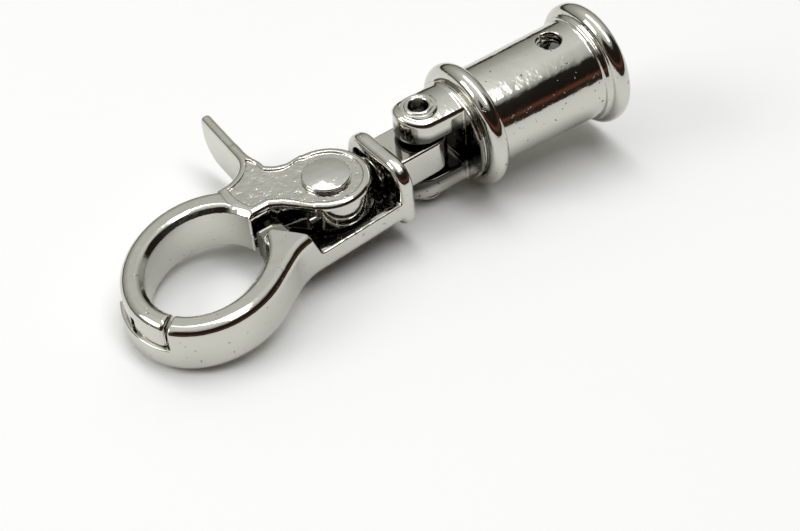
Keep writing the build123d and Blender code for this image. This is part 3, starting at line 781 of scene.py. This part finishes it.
class CLASP_OT_cup(bpy.types.Operator):
    """Make the cord cup with its clevis"""

    bl_idname = "clasp.cup"
    bl_label = "Clevis cup"

    def execute(self, context):
        look = context.scene.clasp_finishes
        finish = metal("Cup nickel", look.nickel, look.gloss, waves=1.2, peel=2.2, pits=2.0, depth=CAST_DEPTH)
        cell = 0.2
        points, quads, normals = skin(cup_distance, (-4, -9, -9), (CUP_LENGTH + 1, 9, 9), cell)
        x, y, z = points.T
        # Painted shade: the deep mask darkens the root of the fork between the ears and the inside of the cord
        # bore.
        fork = soft(np.maximum(np.abs(z) - 2.9, np.maximum(x - 5.2, 1.2 - x)), 1.2)
        bore = soft(np.maximum(np.hypot(y, z) - 5.3, 26.0 - CUP_LENGTH - 9.0 + x * 0.4))
        deep = np.maximum(fork, bore)
        piece = make_piece("cup_skin", points, quads, normals, CUP, finish, {"deep": deep})
        stand_for(piece, "clevis_cup", "cup")
        return {"FINISHED"}


class CLASP_OT_pins(bpy.types.Operator):
    """Make the clevis pin and the pivot rivet"""

    bl_idname = "clasp.pins"
    bl_label = "Pin and rivet"

    def execute(self, context):
        look = context.scene.clasp_finishes
        gloss = look.gloss + 0.03
        finish = metal("Rivet nickel", look.rivet, gloss, 0.1, waves=4.0, peel=1.2, pits=0.4, depth=CAST_DEPTH)
        points, quads, normals = skin(pin_distance, (-2.6, -2.6, -7.7), (2.6, 2.6, 7.3), 0.09)
        # Painted shade: the deep mask darkens the blind hole in the pin's rolled upper end.
        from_axis = np.hypot(points[:, 0], points[:, 1])
        hole = soft(np.maximum(from_axis - 1.35, points[:, 2] - PIN_TOP + 0.5), 0.4)
        deep = hole * (points[:, 2] > 0)
        piece = make_piece("clevis_pin_skin", points, quads, normals, CUP, finish, {"deep": deep})
        stand_for(piece, "clevis_pin", "cup")
        low = (PIVOT[0] - 3.3, PIVOT[1] - 3.3, -4.1)
        high = (PIVOT[0] + 3.3, PIVOT[1] + 3.3, 4.3)
        points, quads, normals = skin(rivet_distance, low, high, 0.11)
        piece = make_piece("pivot_rivet_skin", points, quads, normals, HOOK, finish)
        stand_for(piece, "pivot_rivet", "hook")
        return {"FINISHED"}


class CLASP_OT_tongue(bpy.types.Operator):
    """Make the swivel tongue"""

    bl_idname = "clasp.tongue"
    bl_label = "Swivel tongue"

    def execute(self, context):
        look = context.scene.clasp_finishes
        finish = metal("Tongue nickel", look.nickel, look.gloss, waves=0.8, peel=0.6, pits=0.5)
        points, quads, normals = skin(tongue_distance, (-8.8, -3.7, -3), (3.7, 3.7, 3), 0.15)
        piece = make_piece("tongue_skin", points, quads, normals, HOOK, finish)
        stand_for(piece, "swivel_tongue", "tongue")
        return {"FINISHED"}


class CLASP_OT_hook(bpy.types.Operator):
    """Make the hook's body"""

    bl_idname = "clasp.hook"
    bl_label = "Hook body"

    def execute(self, context):
        look = context.scene.clasp_finishes
        finish = metal("Hook nickel", look.nickel, look.gloss, waves=1.6, peel=1.6, pits=1.2, depth=CAST_DEPTH)
        cell = 0.2
        points, quads, normals = skin(body_distance, (-46.3, -14, -4.8), (-5.8, 8, 5.4), cell)
        x, y, z = points.T
        # Painted shade: the deep mask darkens the channel under the trigger, behind the shoulder.
        channel = [(-24.6, -3.3), (-22.2, -6.2), (-7.2, -5.9), (-7.2, 7.0), (-26.5, 7.0), (-26.5, -3.3)]
        deep = soft(np.maximum(outline(x, y, channel), z - 1.6), 1.4)
        piece = make_piece("hook_skin", points, quads, normals, HOOK, finish, {"deep": deep})
        stand_for(piece, "hook_body", "hook")
        return {"FINISHED"}


class CLASP_OT_trigger(bpy.types.Operator):
    """Make the trigger lever"""

    bl_idname = "clasp.trigger"
    bl_label = "Trigger lever"

    def execute(self, context):
        look = context.scene.clasp_finishes
        marks = {"waves": 1.6, "peel": 1.6, "pits": 0.8, "hammer": 2.4, "depth": CAST_DEPTH}
        finish = metal("Trigger nickel", look.nickel, look.gloss, **marks)
        cell = 0.2
        points, quads, normals = skin(trigger_distance, (-46.3, -11, -3.9), (-8.2, 21.6, 3.9), cell)
        inside = field_depth(points[:, 0], points[:, 1], hook_sizes())
        field = np.clip(inside / 0.5 + 0.5, 0, 1) * (points[:, 2] > 2.5)
        x, y, z = points.T
        # Painted shade: the deep mask darkens the spring's pocket round the pivot.
        pocket = np.maximum(np.abs(np.hypot(x - PIVOT[0], y - PIVOT[1]) - 3.6) - 1.0, np.abs(z - 0.7) - 1.4)
        deep = soft(pocket, 0.5)
        masks = {"field": field, "deep": deep}
        piece = make_piece("trigger_skin", points, quads, normals, HOOK, finish, masks)
        stand_for(piece, "trigger_lever", "trigger")
        return {"FINISHED"}


FAR_ROOM = (
    (0.49, (0.30, 0.30, 0.29)),
    (0.50, (0.04, 0.035, 0.03)),
    (0.54, (0.03, 0.025, 0.02)),
    (0.60, (0.35, 0.35, 0.31)),
    (0.78, (0.55, 0.55, 0.51)),
    (0.88, (0.75, 0.75, 0.73)),
    (1.0, (0.95, 0.95, 0.94)),
)
NEAR_ROOM = (
    (0.49, (0.30, 0.30, 0.29)),
    (0.50, (0.05, 0.03, 0.02)),
    (0.56, (0.02, 0.016, 0.014)),
    (0.62, (0.15, 0.055, 0.028)),
    (0.68, (0.015, 0.012, 0.01)),
    (0.86, (0.02, 0.018, 0.015)),
    (0.90, (0.50, 0.50, 0.47)),
    (1.0, (0.95, 0.95, 0.94)),
)


class CLASP_OT_spring(bpy.types.Operator):
    """Make the torsion spring from a merged copy of its solid"""

    bl_idname = "clasp.spring"
    bl_label = "Torsion spring"

    def execute(self, context):
        look = context.scene.clasp_finishes
        copied = bpy.data.objects["torsion_spring"].data.copy()
        work = bmesh.new()
        work.from_mesh(copied)
        bmesh.ops.remove_doubles(work, verts=work.verts, dist=0.001 * MM)
        work.to_mesh(copied)
        work.free()
        copied.name = "spring_skin"
        copied.shade_smooth()
        copied.set_sharp_from_angle(angle=math.radians(40))
        copied.materials.clear()
        steel = metal("Spring steel", look.steel, 0.22, haze=0.1, waves=0.5, peel=0.3, pits=0.0)
        copied.materials.append(steel)
        piece = bpy.data.objects.new("spring_skin", copied)
        context.scene.collection.objects.link(piece)
        stand_for(piece, "torsion_spring", "trigger")
        return {"FINISHED"}


class CLASP_OT_stage(bpy.types.Operator):
    """Make the floor, the lights and the camera"""

    bl_idname = "clasp.stage"
    bl_label = "Stage"

    def execute(self, context):
        look = context.scene.clasp_finishes
        scene = context.scene
        floor_z = cad_box[0][2]
        size = 1.2
        mesh = bpy.data.meshes.new("floor")
        turns = ((-size, -size), (size, -size), (size, size), (-size, size))
        corners = [(*corner, floor_z) for corner in turns]
        mesh.from_pydata(corners, [], [(0, 1, 2, 3)])
        floor = bpy.data.objects.new("floor", mesh)
        scene.collection.objects.link(floor)
        material = bpy.data.materials.new("Pale floor")
        material.use_nodes = True
        shader = material.node_tree.nodes["Principled BSDF"]
        shader.inputs["Base Color"].default_value = (*look.floor, 1)
        shader.inputs["Roughness"].default_value = 0.6
        mesh.materials.append(material)
        middle = Vector((cad_box[0][0] + cad_box[1][0], 0, 0)) / 2
        for name, place, width, depth, power in (
            ("overhead", (0.12, 0.02, 0.75), 0.9, 0.22, 2.6),
            ("left", (-0.70, 0.25, 0.50), 0.45, 0.35, 2.2),
        ):
            lamp = bpy.data.lights.new(name, "AREA")
            lamp.shape = "RECTANGLE"
            lamp.size, lamp.size_y = width, depth
            lamp.energy = power
            light = bpy.data.objects.new(name, lamp)
            light.location = middle + Vector(place)
            light.rotation_euler = (middle - light.location).to_track_quat("-Z", "Y").to_euler()
            scene.collection.objects.link(light)
        self.light_the_room(scene)
        self.aim_camera(scene)
        scene.view_settings.view_transform = "Standard"
        return {"FINISHED"}

    def light_the_room(self, scene):
        """A pale room with a dark belt at the horizon and a dark near side, which show in the metal."""
        world = bpy.data.worlds.new("room")
        scene.world = world
        world.use_nodes = True
        tree = world.node_tree
        background = tree.nodes["Background"]
        place = tree.nodes.new("ShaderNodeTexCoord")
        split = tree.nodes.new("ShaderNodeSeparateXYZ")
        tree.links.new(place.outputs["Generated"], split.inputs["Vector"])
        height = calculate(tree, "MULTIPLY_ADD", split.outputs["Z"], 0.5, 0.5)
        far = self.bands(tree, height, FAR_ROOM)
        near = self.bands(tree, height, NEAR_ROOM)
        side = tree.nodes.new("ShaderNodeVectorMath")
        side.operation = "DOT_PRODUCT"
        side.inputs[1].default_value = (0.10, -0.99, 0.0)
        tree.links.new(place.outputs["Generated"], side.inputs[0])
        room = tree.nodes.new("ShaderNodeMix")
        room.data_type = "RGBA"
        tree.links.new(smooth_step(tree, side.outputs["Value"], 0.02, 0.22), room.inputs["Factor"])
        tree.links.new(far, room.inputs["A"])
        tree.links.new(near, room.inputs["B"])
        tree.links.new(room.outputs["Result"], background.inputs["Color"])

    def bands(self, tree, height, stops):
        """Colours of the room from the floor up, and their output."""
        ramp = tree.nodes.new("ShaderNodeValToRGB")
        tree.links.new(height, ramp.inputs["Fac"])
        first, last = ramp.color_ramp.elements
        first.position, first.color = stops[0][0], (*stops[0][1], 1)
        last.position, last.color = stops[-1][0], (*stops[-1][1], 1)
        for position, colour in stops[1:-1]:
            ramp.color_ramp.elements.new(position).color = (*colour, 1)
        return ramp.outputs["Color"]

    def aim_camera(self, scene):
        """The camera stands to the near left above the hook, and looks back along the clasp."""
        lens = bpy.data.cameras.new("camera")
        lens.lens = 86.16
        lens.sensor_width = 36.0
        camera = bpy.data.objects.new("camera", lens)
        right = np.array((0.823, -0.562, -0.076)) @ CUP
        ahead = np.array((0.358, 0.620, -0.698)) @ CUP
        right = right / np.linalg.norm(right)
        ahead = ahead - right * (ahead @ right)
        ahead = ahead / np.linalg.norm(ahead)
        above = np.cross(right, ahead)
        place = PIN + np.array((-96.8, -158.5, 160.3)) @ CUP * MM
        turned = Matrix(np.array([right, above, -ahead]).T.tolist())
        camera.matrix_world = Matrix.Translation(Vector(place)) @ turned.to_4x4()
        scene.collection.objects.link(camera)
        scene.camera = camera


class CLASP_PT_panel(bpy.types.Panel):
    """Sizes, finishes and makers of the clasp"""

    bl_idname = "CLASP_PT_panel"
    bl_label = "Clasp"
    bl_space_type = "VIEW_3D"
    bl_region_type = "UI"
    bl_category = "Clasp"

    def draw(self, context):
        layout = self.layout
        for owner, group in (
            (context.scene.clasp_cup, CupSizes),
            (context.scene.clasp_hook, HookSizes),
            (context.scene.clasp_finishes, Finishes),
        ):
            for key in group.__annotations__:
                layout.prop(owner, key)
        for maker in MAKERS:
            layout.operator(maker.bl_idname)


MAKERS = (
    CLASP_OT_cup,
    CLASP_OT_pins,
    CLASP_OT_tongue,
    CLASP_OT_hook,
    CLASP_OT_trigger,
    CLASP_OT_spring,
    CLASP_OT_stage,
)
CLASSES = (CupSizes, HookSizes, Finishes, *MAKERS, CLASP_PT_panel)


def register():
    """Adds the classes and the scene's settings."""
    for item in CLASSES:
        bpy.utils.register_class(item)
    bpy.types.Scene.clasp_cup = bpy.props.PointerProperty(type=CupSizes)
    bpy.types.Scene.clasp_hook = bpy.props.PointerProperty(type=HookSizes)
    bpy.types.Scene.clasp_finishes = bpy.props.PointerProperty(type=Finishes)


def unregister():
    """Removes what register added."""
    del bpy.types.Scene.clasp_finishes
    del bpy.types.Scene.clasp_hook
    del bpy.types.Scene.clasp_cup
    for item in reversed(CLASSES):
        bpy.utils.unregister_class(item)


def main():
    """Makes every piece and the stage."""
    register()
    for maker in MAKERS:
        group, name = maker.bl_idname.split(".")
        getattr(getattr(bpy.ops, group), name)()


if __name__ == "__main__":
    main()
